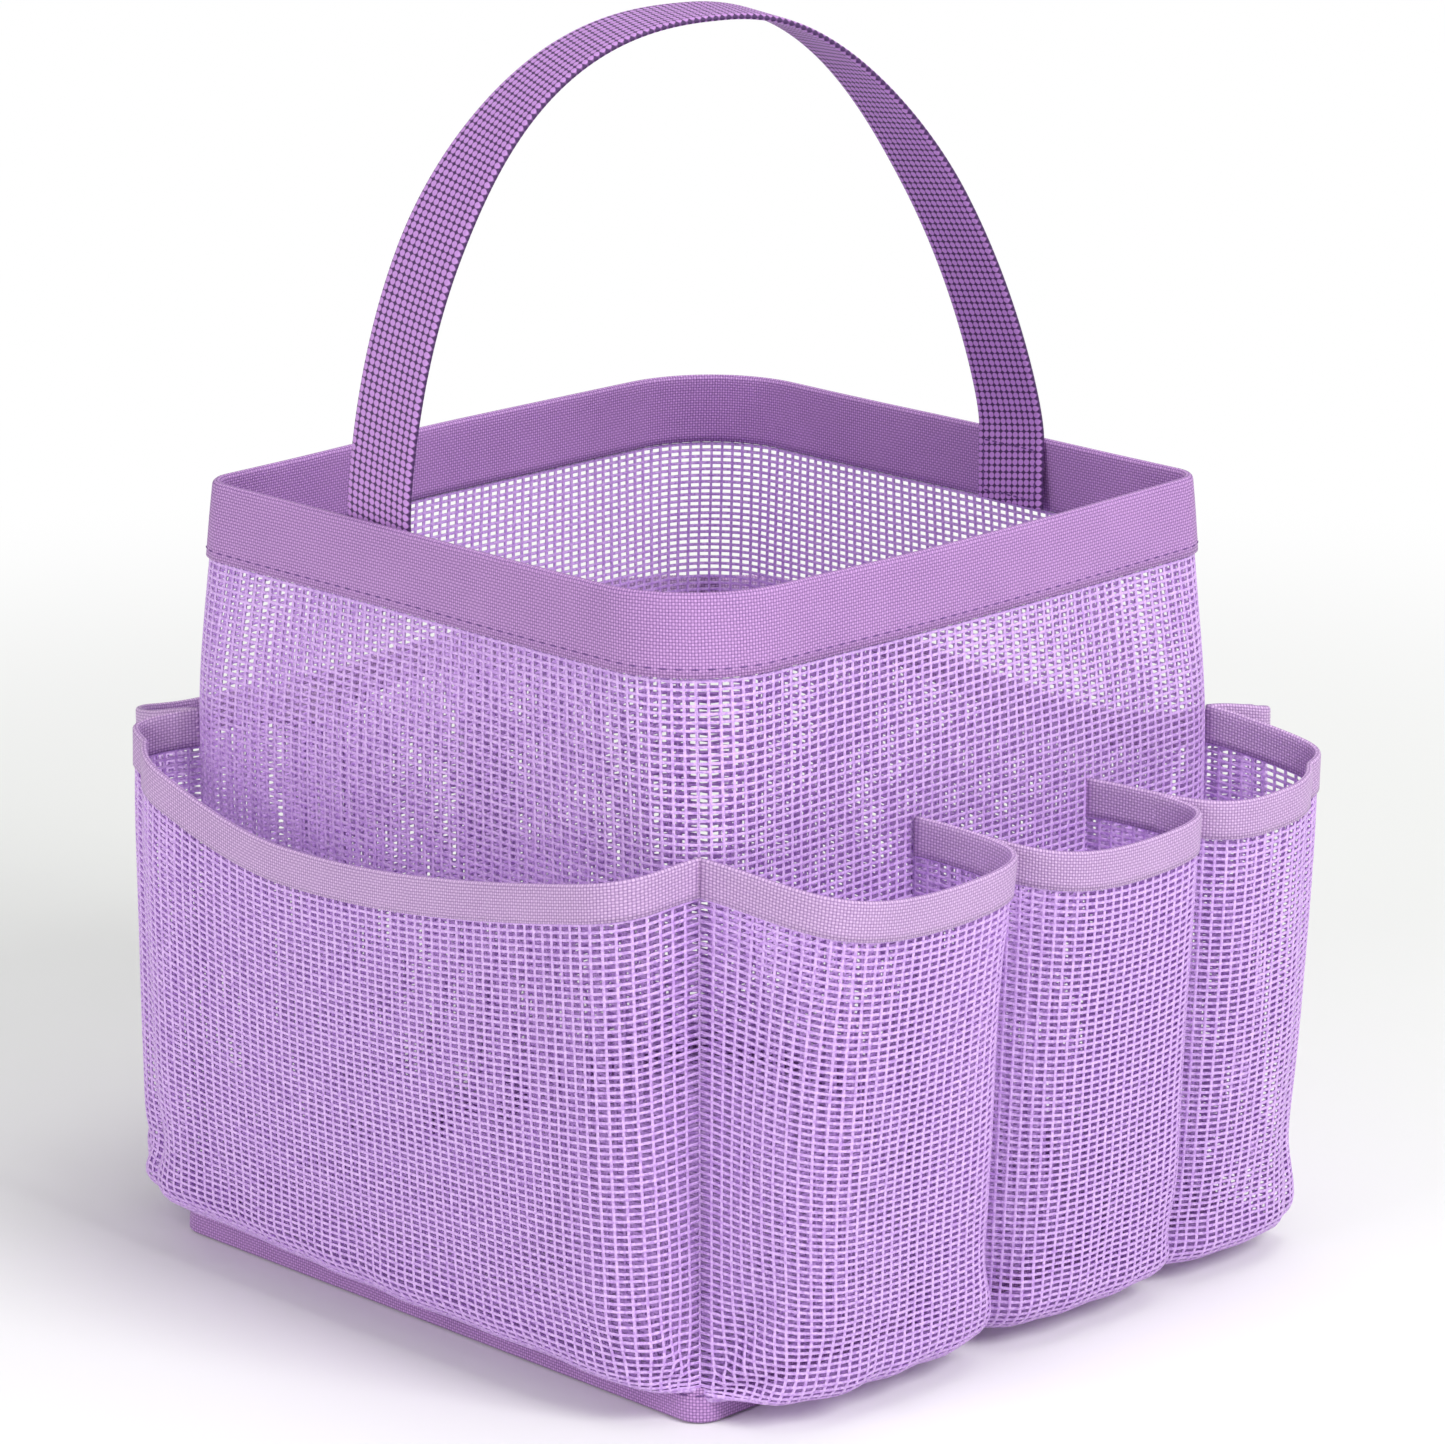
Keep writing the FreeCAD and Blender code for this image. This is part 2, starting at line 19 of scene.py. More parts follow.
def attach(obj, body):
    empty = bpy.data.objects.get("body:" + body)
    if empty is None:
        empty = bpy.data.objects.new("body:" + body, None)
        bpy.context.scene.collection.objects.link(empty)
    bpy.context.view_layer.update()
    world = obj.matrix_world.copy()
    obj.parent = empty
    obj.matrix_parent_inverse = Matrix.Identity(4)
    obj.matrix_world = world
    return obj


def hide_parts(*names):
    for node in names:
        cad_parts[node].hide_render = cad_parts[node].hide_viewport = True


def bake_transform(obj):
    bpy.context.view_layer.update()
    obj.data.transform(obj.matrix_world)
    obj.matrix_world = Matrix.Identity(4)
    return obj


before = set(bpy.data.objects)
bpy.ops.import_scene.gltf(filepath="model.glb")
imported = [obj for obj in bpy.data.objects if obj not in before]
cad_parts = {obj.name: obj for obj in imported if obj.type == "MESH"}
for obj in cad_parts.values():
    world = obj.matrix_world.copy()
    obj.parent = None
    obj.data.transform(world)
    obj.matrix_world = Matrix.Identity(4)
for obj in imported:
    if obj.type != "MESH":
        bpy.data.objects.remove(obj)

MM = 0.001
Place = Callable[[float, float], Vector]
Colour = tuple[float, float, float]

log = logging.getLogger("caddy")


# ------------------------------------------------------------------ shader maths

class Value:
    """A node socket whose arithmetic adds Math nodes to its tree."""

    def __init__(self, graph: "Graph", socket: bpy.types.NodeSocket) -> None:
        """Wrap one output socket of a tree."""
        self.graph = graph
        self.socket = socket

    def __add__(self, other: "Value | float") -> "Value":
        """The sum."""
        return self.graph.maths("ADD", self, other)

    __radd__ = __add__

    def __sub__(self, other: "Value | float") -> "Value":
        """This less the other."""
        return self.graph.maths("SUBTRACT", self, other)

    def __rsub__(self, other: float) -> "Value":
        """The other less this."""
        return self.graph.maths("SUBTRACT", other, self)

    def __mul__(self, other: "Value | float") -> "Value":
        """The product."""
        return self.graph.maths("MULTIPLY", self, other)

    __rmul__ = __mul__

    def __truediv__(self, other: "Value | float") -> "Value":
        """This over the other."""
        return self.graph.maths("DIVIDE", self, other)

    def sine(self) -> "Value":
        """The sine of an angle in radians."""
        return self.graph.maths("SINE", self)

    def size(self) -> "Value":
        """The value without its sign."""
        return self.graph.maths("ABSOLUTE", self)

    def power(self, exponent: float) -> "Value":
        """The value raised to a power."""
        return self.graph.maths("POWER", self, exponent)

    def step(self, low: float, high: float) -> "Value":
        """A smooth step from 0 at low to 1 at high."""
        settings = {"interpolation_type": "SMOOTHSTEP"}
        return self.graph.add("ShaderNodeMapRange", settings, {0: self, 1: low, 2: high})


class Graph:
    """A material's node tree."""

    def __init__(self, material: bpy.types.Material) -> None:
        """Empty the material's tree and keep it.

        Args:
            material: The material to build.
        """
        material.use_nodes = True
        self.tree = material.node_tree
        self.tree.nodes.clear()

    def node(self, kind: str, settings: dict | None = None,
             inputs: dict | None = None) -> bpy.types.Node:
        """Add one node, set it and feed its sockets.

        Args:
            kind: The node's type name.
            settings: Its properties, and a ramp's stops under "stops".
            inputs: Values or links by socket name or number.

        Returns:
            The new node.
        """
        made = self.tree.nodes.new(kind)
        for name, setting in (settings or {}).items():
            if name == "stops":
                self.set_stops(made.color_ramp, setting)
            else:
                setattr(made, name, setting)
        for key, value in (inputs or {}).items():
            if isinstance(value, Value):
                self.tree.links.new(value.socket, made.inputs[key])
            else:
                made.inputs[key].default_value = value
        return made

    def add(self, kind: str, settings: dict | None = None, inputs: dict | None = None,
            output: int | str = 0) -> Value:
        """Add one node and return one of its outputs."""
        return Value(self, self.node(kind, settings, inputs).outputs[output])

    def set_stops(self, ramp: bpy.types.ColorRamp, stops: Sequence[tuple]) -> None:
        """Give a colour ramp its stops as (place, colour) pairs."""
        while len(ramp.elements) < len(stops):
            ramp.elements.new(1.0)
        for element, (place, colour) in zip(ramp.elements, stops):
            element.position = place
            element.color = (*colour, 1.0)

    def maths(self, operation: str, first: Value | float, second: Value | float = 0.0) -> Value:
        """Add a Math node."""
        return self.add("ShaderNodeMath", {"operation": operation}, {0: first, 1: second})

    def mix(self, share: Value | float, first: "Value | Colour", second: "Value | Colour") -> Value:
        """Mix two colours by a share from 0 to 1."""
        colours = [c if isinstance(c, Value) else (*c, 1.0) for c in (first, second)]
        settings = {"data_type": "RGBA"}
        inputs = {0: share, 6: colours[0], 7: colours[1]}
        return self.add("ShaderNodeMix", settings, inputs, output=2)

    def place(self, source: str) -> Value:
        """The Object or UV coordinates."""
        return self.add("ShaderNodeTexCoord", output=source)

    def axes(self, source: str) -> tuple[Value, Value]:
        """The first two Object or UV coordinates as numbers."""
        split = self.node("ShaderNodeSeparateXYZ", None, {0: self.place(source)})
        return Value(self, split.outputs[0]), Value(self, split.outputs[1])

    def cloud(self, scale: float, detail: float = 2.0, source: str = "Object") -> Value:
        """Soft noise from 0 to 1."""
        inputs = {"Vector": self.place(source), "Scale": scale, "Detail": detail}
        return self.add("ShaderNodeTexNoise", None, inputs)

    def bump(self, height: Value, distance: float, strength: float = 1.0,
             under: Value | None = None) -> Value:
        """A normal bent by a height, over another bump if one is given."""
        inputs = {"Height": height, "Distance": distance, "Strength": strength}
        if under is not None:
            inputs["Normal"] = under
        return self.add("ShaderNodeBump", None, inputs)

    def finish(self, shader: bpy.types.Node) -> None:
        """Send a shader to the surface."""
        self.node("ShaderNodeOutputMaterial", None, {"Surface": Value(self, shader.outputs[0])})


def srgb(red: int, green: int, blue: int) -> Colour:
    """A linear colour from its everyday 0 to 255 values."""
    def linear(level: int) -> float:
        """One channel."""
        share = level / 255
        return share / 12.92 if share <= 0.04045 else ((share + 0.055) / 1.055) ** 2.4
    return (linear(red), linear(green), linear(blue))


# ------------------------------------------------------------------ finishes

@dataclass(frozen=True)
class CoatedYarn:
    """The glossy coated yarn of the open mesh."""

    light: Colour = srgb(226, 188, 246)
    deep: Colour = srgb(186, 138, 218)

    def material(self) -> bpy.types.Material:
        """Build the material."""
        made = bpy.data.materials.new("coated_yarn")
        graph = Graph(made)
        fibre = graph.cloud(1100.0, 2.0)
        colour = graph.mix(fibre.step(0.25, 0.7), self.deep, self.light)
        shader = graph.node("ShaderNodeBsdfPrincipled", None, {
            "Base Color": colour, "Roughness": 0.3 + fibre * 0.14,
            "Normal": graph.bump(fibre, 0.1 * MM, 0.4),
            "Specular IOR Level": 0.55, "Coat Weight": 0.15, "Coat Roughness": 0.25})
        graph.finish(shader)
        return made


@dataclass(frozen=True)
class WovenTape:
    """The fine plain weave of the bands, bindings and hems, on UV coordinates in metres, with painted
    shade in the pits between the yarns.
    """

    name: str = "woven_tape"
    # light colours the raised yarns; deep is the painted shade in the pits between them.
    light: Colour = srgb(208, 160, 221)
    deep: Colour = srgb(96, 54, 126)
    pitch: float = 0.85 * MM

    def material(self) -> bpy.types.Material:
        """Build the material."""
        made = bpy.data.materials.new(self.name)
        graph = Graph(made)
        across, along = graph.axes("UV")
        wander = graph.cloud(160.0, 2.0) * (0.35 * MM)
        turn = math.pi / self.pitch
        weft, warp = ((across + wander) * turn).sine(), ((along + wander) * turn).sine()
        weave = weft * warp * 0.5 + 0.5
        pits = weft.size() * warp.size()
        patch = graph.cloud(45.0, 3.0)
        fibre = graph.cloud(2600.0, 2.0)
        # The colour is partly painted shade and light: darker in the pits between the yarns and lighter
        # on the raised crossings, with patches and fibres that vary at random.
        tone = pits.power(0.5) * 0.58 + weave * 0.26 + patch * 0.1 + fibre * 0.14
        colour = graph.mix(tone.step(0.14, 0.94), self.deep, self.light)
        height = pits.power(0.6) * 0.6 + weave * 0.4
        normal = graph.bump(height, 0.22 * MM, 0.9)
        shader = graph.node("ShaderNodeBsdfPrincipled", None, {
            "Base Color": colour, "Roughness": 0.62 - weave * 0.14, "Normal": normal,
            "Specular IOR Level": 0.42, "Sheen Weight": 0.12, "Sheen Roughness": 0.4})
        graph.finish(shader)
        return made


@dataclass(frozen=True)
class Webbing:
    """The coarse webbing of the handle: light yarns with painted shade in the gap where four meet."""

    # light is the yarns' own colour; deep is the painted shade in the gaps between them.
    light: Colour = srgb(198, 143, 218)
    deep: Colour = srgb(62, 24, 84)
    column: float = 2.27 * MM
    row: float = 2.05 * MM
    slant: float = 0.16

    def material(self) -> bpy.types.Material:
        """Build the material."""
        made = bpy.data.materials.new("webbing")
        graph = Graph(made)
        across, along = graph.axes("UV")
        ridge = (across * (math.pi / self.column)).sine().size()
        beat = ((along + across * self.slant) * (math.pi / self.row)).sine().size()
        # gap marks where the yarns meet; the colour darkens there as painted shade, while strands and
        # fibre add the yarns' own texture.
        gap = (1 - ridge.power(0.9)) * 0.8 + (1 - beat.power(0.9)) * 0.8
        strands = ((across * 2.6 + along) * (2.0 * math.pi / (0.42 * MM))).sine() * 0.5 + 0.5
        fibre = graph.cloud(2200.0, 2.0)
        tone = 1 - gap.step(0.3, 0.98) + strands * 0.08 + fibre * 0.16 - 0.1
        colour = graph.mix(tone.step(0.0, 1.0), self.deep, self.light)
        normal = graph.bump(strands * 0.5 + fibre * 0.5, 0.08 * MM, 0.7)
        shader = graph.node("ShaderNodeBsdfPrincipled", None, {
            "Base Color": colour, "Roughness": 0.5 + fibre * 0.15, "Normal": normal,
            "Specular IOR Level": 0.5, "Sheen Weight": 0.08, "Sheen Roughness": 0.4})
        graph.finish(shader)
        return made


@dataclass(frozen=True)
class SewingThread:
    """The deeper purple sewing thread."""

    light: Colour = srgb(132, 88, 158)
    deep: Colour = srgb(82, 46, 112)

    def material(self) -> bpy.types.Material:
        """Build the material."""
        made = bpy.data.materials.new("sewing_thread")
        graph = Graph(made)
        ply = graph.cloud(3800.0, 1.0)
        colour = graph.mix(ply.step(0.3, 0.7), self.deep, self.light)
        shader = graph.node("ShaderNodeBsdfPrincipled", None, {
            "Base Color": colour, "Roughness": 0.45 + ply * 0.1,
            "Normal": graph.bump(ply, 0.06 * MM, 0.6)})
        graph.finish(shader)
        return made


@dataclass(frozen=True)
class StudioFloor:
    """A pale floor that keeps the shadow near the object and runs out to white."""

    pale: Colour = (0.9, 0.91, 0.89)

    def material(self) -> bpy.types.Material:
        """Build the material."""
        made = bpy.data.materials.new("studio_floor")
        graph = Graph(made)
        radius = graph.add("ShaderNodeVectorMath", {"operation": "LENGTH"},
                           {0: graph.place("Object")}, output="Value")
        path = graph.node("ShaderNodeLightPath")
        seen = Value(graph, path.outputs["Is Camera Ray"])
        far = radius.step(0.4, 0.9) * seen
        near = graph.node("ShaderNodeBsdfDiffuse", None, {"Color": (*self.pale, 1.0)})
        away = graph.node("ShaderNodeEmission", None, {"Color": (1.0, 1.0, 1.0, 1.0)})
        shader = graph.node("ShaderNodeMixShader", None, {
            0: far, 1: Value(graph, near.outputs[0]), 2: Value(graph, away.outputs[0])})
        graph.finish(shader)
        return made


# ------------------------------------------------------------------ cloth making

def clamp(number: float, low: float = 0.0, high: float = 1.0) -> float:
    """Keep a number between two limits."""
    return max(low, min(high, number))


def ease(share: float) -> float:
    """A smooth step of a share from 0 to 1."""
    share = clamp(share)
    return share * share * (3 - 2 * share)


def lerp(first: float, second: float, share: float) -> float:
    """The number a share of the way from one to another."""
    return first + (second - first) * share


def laid_grid(columns: int, rows: int, size: tuple[float, float], place: Place) -> bmesh.types.BMesh:
    """Lay a flat grid of cells onto a curved place.

    Args:
        columns: Cells along the first direction.
        rows: Cells along the second.
        size: The flat size, which the UV map is written in.
        place: Gives the point of a share along each direction.

    Returns:
        The laid grid.
    """
    sheet = bmesh.new()
    uv = sheet.loops.layers.uv.new("flat")
    bmesh.ops.create_grid(sheet, x_segments=columns, y_segments=rows, size=0.5, calc_uvs=True)
    for face in sheet.faces:
        for loop in face.loops:
            across, along = loop.vert.co.x + 0.5, loop.vert.co.y + 0.5
            loop[uv].uv = (across * size[0], along * size[1])
    for vert in sheet.verts:
        vert.co = place(vert.co.x + 0.5, vert.co.y + 0.5)
    sheet.normal_update()
    return sheet


def open_cells(sheet: bmesh.types.BMesh, strand: float) -> None:
    """Open a hole in every cell, leaving strands of yarn between them.

    Args:
        sheet: The laid grid.
        strand: The width of a strand.
    """
    cells = list(sheet.faces)
    diagonal = strand / math.sqrt(2)
    bmesh.ops.inset_individual(sheet, faces=cells, thickness=diagonal, use_even_offset=False)
    bmesh.ops.delete(sheet, geom=cells, context="FACES_ONLY")


def as_piece(name: str, shape: bmesh.types.BMesh, material: bpy.types.Material,
             nodes: Sequence[str], body: str = "caddy") -> bpy.types.Object:
    """Turn a bmesh into a piece that stands for some CAD nodes.

    Args:
        name: The piece's name.
        shape: Its geometry, which is freed.
        material: Its finish.
        nodes: The CAD nodes that it replaces.
        body: The body that it rides on, or an empty name for none yet.

    Returns:
        The new object.
    """
    mesh = bpy.data.meshes.new(name)
    for face in shape.faces:
        face.smooth = True
    shape.to_mesh(mesh)
    shape.free()
    mesh.materials.append(material)
    piece = bpy.data.objects.new(name, mesh)
    bpy.context.scene.collection.objects.link(piece)
    if nodes:
        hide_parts(*nodes)
    if body:
        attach(piece, body)
    log.info("%s: %d faces", name, len(mesh.polygons))
    return piece


def thicken(piece: bpy.types.Object, thickness: float) -> None:
    """Give a sheet its thickness, half on each side."""
    solid = piece.modifiers.new("thickness", "SOLIDIFY")
    solid.thickness = thickness
    solid.offset = 0.0


@dataclass
class Stitch:
    """One stitch lying on a surface."""

    middle: Vector
    along: Vector
    outward: Vector
    length: float
    width: float = 0.55 * MM


def sew(stitches: Sequence[Stitch]) -> bmesh.types.BMesh:
    """Make small rounded stitches.

    Args:
        stitches: Where each one lies.

    Returns:
        All of them in one bmesh.
    """
    shape = bmesh.new()
    for stitch in stitches:
        along = stitch.along.normalized()
        side = stitch.outward.cross(along).normalized()
        outward = along.cross(side)
        turn = Matrix((side, outward, along)).transposed().to_4x4()
        scale = Matrix.Diagonal((stitch.width / 2, stitch.width / 2.6, stitch.length / 2, 1.0))
        place = Matrix.Translation(stitch.middle) @ turn @ scale
        bmesh.ops.create_uvsphere(shape, u_segments=8, v_segments=5, radius=1.0, matrix=place)
    return shape


# ------------------------------------------------------------------ the wall's form

class Side(Enum):
    """The four sides, by quarter turns from the front."""

    FRONT = 0
    RIGHT = 1
    BACK = 2
    LEFT = 3

    @property
    def wide(self) -> bool:
        """Whether this side runs along X."""
        return self in (Side.FRONT, Side.BACK)

    def world(self, along: float, reach: float, height: float) -> Vector:
        """A point from its place along the side, its distance outwards and its height."""
        turn = self.value * math.pi / 2
        cosine, sine = round(math.cos(turn)), round(math.sin(turn))
        return Vector((cosine * along + sine * reach, sine * along - cosine * reach, height))


@dataclass
class WallForm:
    """The wall's soft outline at every height."""

    half_low: tuple[float, float] = (107.0 * MM, 109.0 * MM)
    half_top: tuple[float, float] = (98.0 * MM, 102.0 * MM)
    height: float = 225.0 * MM
    bend: float = 160.0 * MM
    bend_soft: float = 16.0 * MM
    corner_low: float = 22.0 * MM
    corner_base: float = 7.0 * MM
    base_soft: float = 34.0 * MM
    round_corner_top: float = 34.0 * MM
    creased_corner_top: float = 9.0 * MM
    bow: float = 3.0 * MM
    slack: float = 1.2 * MM

    def lean(self, height: float) -> float:
        """How far the wall has leaned in, from 0 low down to 1 at the rim."""
        span = self.height - self.bend
        past = height - self.bend
        if past <= -self.bend_soft:
            return 0.0
        if past >= self.bend_soft:
            return past / span
        return (past + self.bend_soft) ** 2 / (4 * self.bend_soft) / span

    def corner(self, height: float) -> float:
        """The corner radius below the lean, which tightens towards the base."""
        return lerp(self.corner_base, self.corner_low, ease(height / self.base_soft))

    def inset(self, height: float) -> float:
        """How far in from the sides' planes a corner's middle lies, along either side."""
        return self.corner(height) * (1 - math.sqrt(0.5))

    def radius(self, side: Side, rightwards: bool, height: float) -> float:
        """The corner radius at one end of a side."""
        rounded = side.wide == rightwards
        top = self.round_corner_top if rounded else self.creased_corner_top
        return lerp(self.corner(height), top, self.lean(height))

    def at(self, side: Side, share: float, height: float, out: float = 0.0) -> Vector:
        """A point of the wall.

        Args:
            side: The side that it is on.
            share: From -1 at the left corner's middle to 1 at the right corner's.
            height: Its height.
            out: How far outside the wall's face it is.

        Returns:
            The point.
        """
        lean = self.lean(height)
        half_x, half_y = (lerp(low, top, lean) for low, top in zip(self.half_low, self.half_top))
        half_run, half_reach = (half_x, half_y) if side.wide else (half_y, half_x)
        left, right = (self.radius(side, end, height) for end in (False, True))
        arc_left, arc_right = left * math.pi / 4, right * math.pi / 4
        flat = 2 * half_run - left - right
        run = (share + 1) / 2 * (flat + arc_left + arc_right)
        if run < arc_left:
            angle, radius, centre = -(arc_left - run) / left, left, left - half_run
        elif run > arc_left + flat:
            angle, radius = (run - arc_left - flat) / right, right
            centre = half_run - right
        else:
            angle, radius, centre = 0.0, left, left - half_run + (run - arc_left)
        bow = 0.0 if side.wide else self.bow * lean * math.cos(share * math.pi / 2) ** 2
        spot = side.world(centre + radius * math.sin(angle),
                          half_reach - radius + radius * math.cos(angle), height)
        outward = side.world(math.sin(angle), math.cos(angle), 0.0)
        sway = noise.noise(spot * 14.0) * self.slack
        return spot + outward * (out + bow + sway * ease(height / (60 * MM)))

    def ring(self, share: float, height: float, out: float = 0.0) -> Vector:
        """A point of the whole ring, from a share of the way round it."""
        quarter = (share % 1.0) * 4
        side = Side(min(3, int(quarter)))
        return self.at(side, (quarter - side.value) * 2 - 1, height, out)

    def round_length(self, height: float) -> float:
        """The length once round at a height."""
        points = [self.ring(step / 240, height) for step in range(240)]
        return sum((a - b).length for a, b in zip(points, points[1:] + points[:1]))


# ------------------------------------------------------------------ body

@dataclass
class Body:
    """The wall, the base, the rim band and the base binding."""

    form: WallForm
    yarn: bpy.types.Material
    tape: bpy.types.Material
    thread: bpy.types.Material
    cell: tuple[float, float] = (3.4 * MM, 2.1 * MM)
    strand: float = 0.74 * MM
    mesh_depth: float = 0.62 * MM
    band_height: float = 21.0 * MM
    binding_height: float = 10.0 * MM
    binding_turn: float = 9.0 * MM
    tape_depth: float = 0.6 * MM
    stitch_pitch: float = 4.2 * MM

    def build(self) -> None:
        """Build and dress every piece of the body."""
        for side in Side:
            self.make_wall(side)
        self.make_base()
        self.make_rim_band()
        self.make_binding()

    def make_wall(self, side: Side) -> None:
        """Knit one side of the wall."""
        low, high = 1.0 * MM, self.form.height - 1.0 * MM
        half = self.form.half_low[0 if side.wide else 1]
        width = 2 * (half - self.form.corner_low * (1 - math.pi / 4))
        columns, rows = round(width / self.cell[0]), round((high - low) / self.cell[1])
        sheet = laid_grid(columns, rows, (width, high - low), lambda across, up: self.form.at(
            side, across * 2 - 1, lerp(low, high, up), -0.5 * MM))
        open_cells(sheet, self.strand)
        name = f"wall_mesh_{side.name.lower()}"
        piece = as_piece(name, sheet, self.yarn, ["wall_mesh"])
        thicken(piece, self.mesh_depth)

    def make_base(self) -> None:
        """Knit the bottom."""
        half_x, half_y = self.form.half_low
        radius = self.form.corner_base

        def place(across: float, along: float) -> Vector:
            """A point of the bottom."""
            y = (along * 2 - 1) * half_y
            past = abs(y) - (half_y - radius)
            half = half_x if past <= 0 else half_x - radius + math.sqrt(max(0.0, radius ** 2 - past ** 2))
            x = (across * 2 - 1) * half
            lift = noise.noise(Vector((x, y, 0.3)) * 16.0) * 0.5 * MM
            return Vector((x, y, 1.4 * MM + lift))

        columns, rows = round(2 * half_x / self.cell[0]), round(2 * half_y / self.cell[1])
        sheet = laid_grid(columns, rows, (2 * half_x, 2 * half_y), place)
        open_cells(sheet, self.strand)
        piece = as_piece("base_mesh_sheet", sheet, self.yarn, ["base_mesh"])
        thicken(piece, self.mesh_depth)

    def tape_ring(self, name: str, profile: Sequence[tuple[float, float]],
                  nodes: Sequence[str]) -> bpy.types.Object:
        """Run a tape round the wall.

        Args:
            name: The piece's name.
            profile: Its section as (out, height) points.
            nodes: The CAD nodes that it replaces.

        Returns:
            The piece.
        """
        length = self.form.round_length(profile[0][1])
        steps = [math.dist(a, b) for a, b in zip(profile, profile[1:])]
        width = sum(steps)
        rows = len(profile) - 1
        columns = round(length / (1.5 * MM))

        def place(across: float, along: float) -> Vector:
            """A point of the tape."""
            out, height = profile[round(along * rows)]
            return self.form.ring(across, height, out)

        sheet = laid_grid(columns, rows, (length, width), place)
        uv = sheet.loops.layers.uv.active
        reached = [sum(steps[:row]) for row in range(rows + 1)]
        for face in sheet.faces:
            for loop in face.loops:
                row = round(loop[uv].uv.y / width * rows)
                loop[uv].uv.y = reached[row]
        bmesh.ops.remove_doubles(sheet, verts=sheet.verts, dist=0.02 * MM)
        piece = as_piece(name, sheet, self.tape, nodes)
        thicken(piece, self.tape_depth)
        return piece

    def make_rim_band(self) -> None:
        """Fold the woven band over the rim and sew it down."""
        top = self.form.height
        low = top - self.band_height
        outer, inner = 0.5 * MM, -1.5 * MM
        middle, fold = (outer + inner) / 2, (outer - inner) / 2
        rise = [lerp(low, top - fold + 0.5 * MM, step / 8) for step in range(9)]
        profile = [(outer + 0.12 * MM * math.sin(step / 8 * math.pi), z)
                   for step, z in enumerate(rise)]
        bends = [step / 6 * math.pi for step in range(1, 6)]
        profile += [(middle + fold * math.cos(a), rise[-1] + fold * math.sin(a)) for a in bends]
        profile += [(inner, z) for z in reversed(rise)]
        self.tape_ring("rim_band_tape", profile, ["rim_band"])
        self.stitch_ring("rim_band_stitches", low + 2.4 * MM, outer + 0.4 * MM,
                         ["rim_band_stitching"])

    def make_binding(self) -> None:
        """Turn the binding under the base and sew it down."""
        outer, under = 0.5 * MM, 0.45 * MM
        turn = 0.9 * MM
        rise = [lerp(self.binding_height, under + turn, step / 6) for step in range(7)]
        profile = [(outer, z) for z in rise]
        bends = [step / 5 * math.pi / 2 for step in range(1, 6)]
        profile += [(outer - turn + turn * math.cos(a), under + turn - turn * math.sin(a))
                    for a in bends]
        last = profile[-1][0]
        profile += [(last - self.binding_turn * step / 4, under) for step in range(1, 5)]
        self.tape_ring("base_binding_tape", profile, ["base_binding"])
        self.stitch_ring("base_binding_stitches", self.binding_height - 2.0 * MM,
                         outer + 0.4 * MM, ["base_binding_stitching"])

    def stitch_ring(self, name: str, height: float, out: float, nodes: Sequence[str]) -> None:
        """Sew one line of stitches round the wall."""
        length = self.form.round_length(height)
        count = round(length / self.stitch_pitch)
        stitches = []
        for index in range(count):
            share = (index + 0.5) / count
            middle = self.form.ring(share, height, out)
            ahead = self.form.ring(share + 0.2 / count, height, out)
            outward = middle - self.form.ring(share, height, out - 1.0 * MM)
            stitches.append(Stitch(middle, ahead - middle, outward, 0.62 * self.stitch_pitch))
        as_piece(name, sew(stitches), self.thread, nodes)


# ------------------------------------------------------------------ pockets

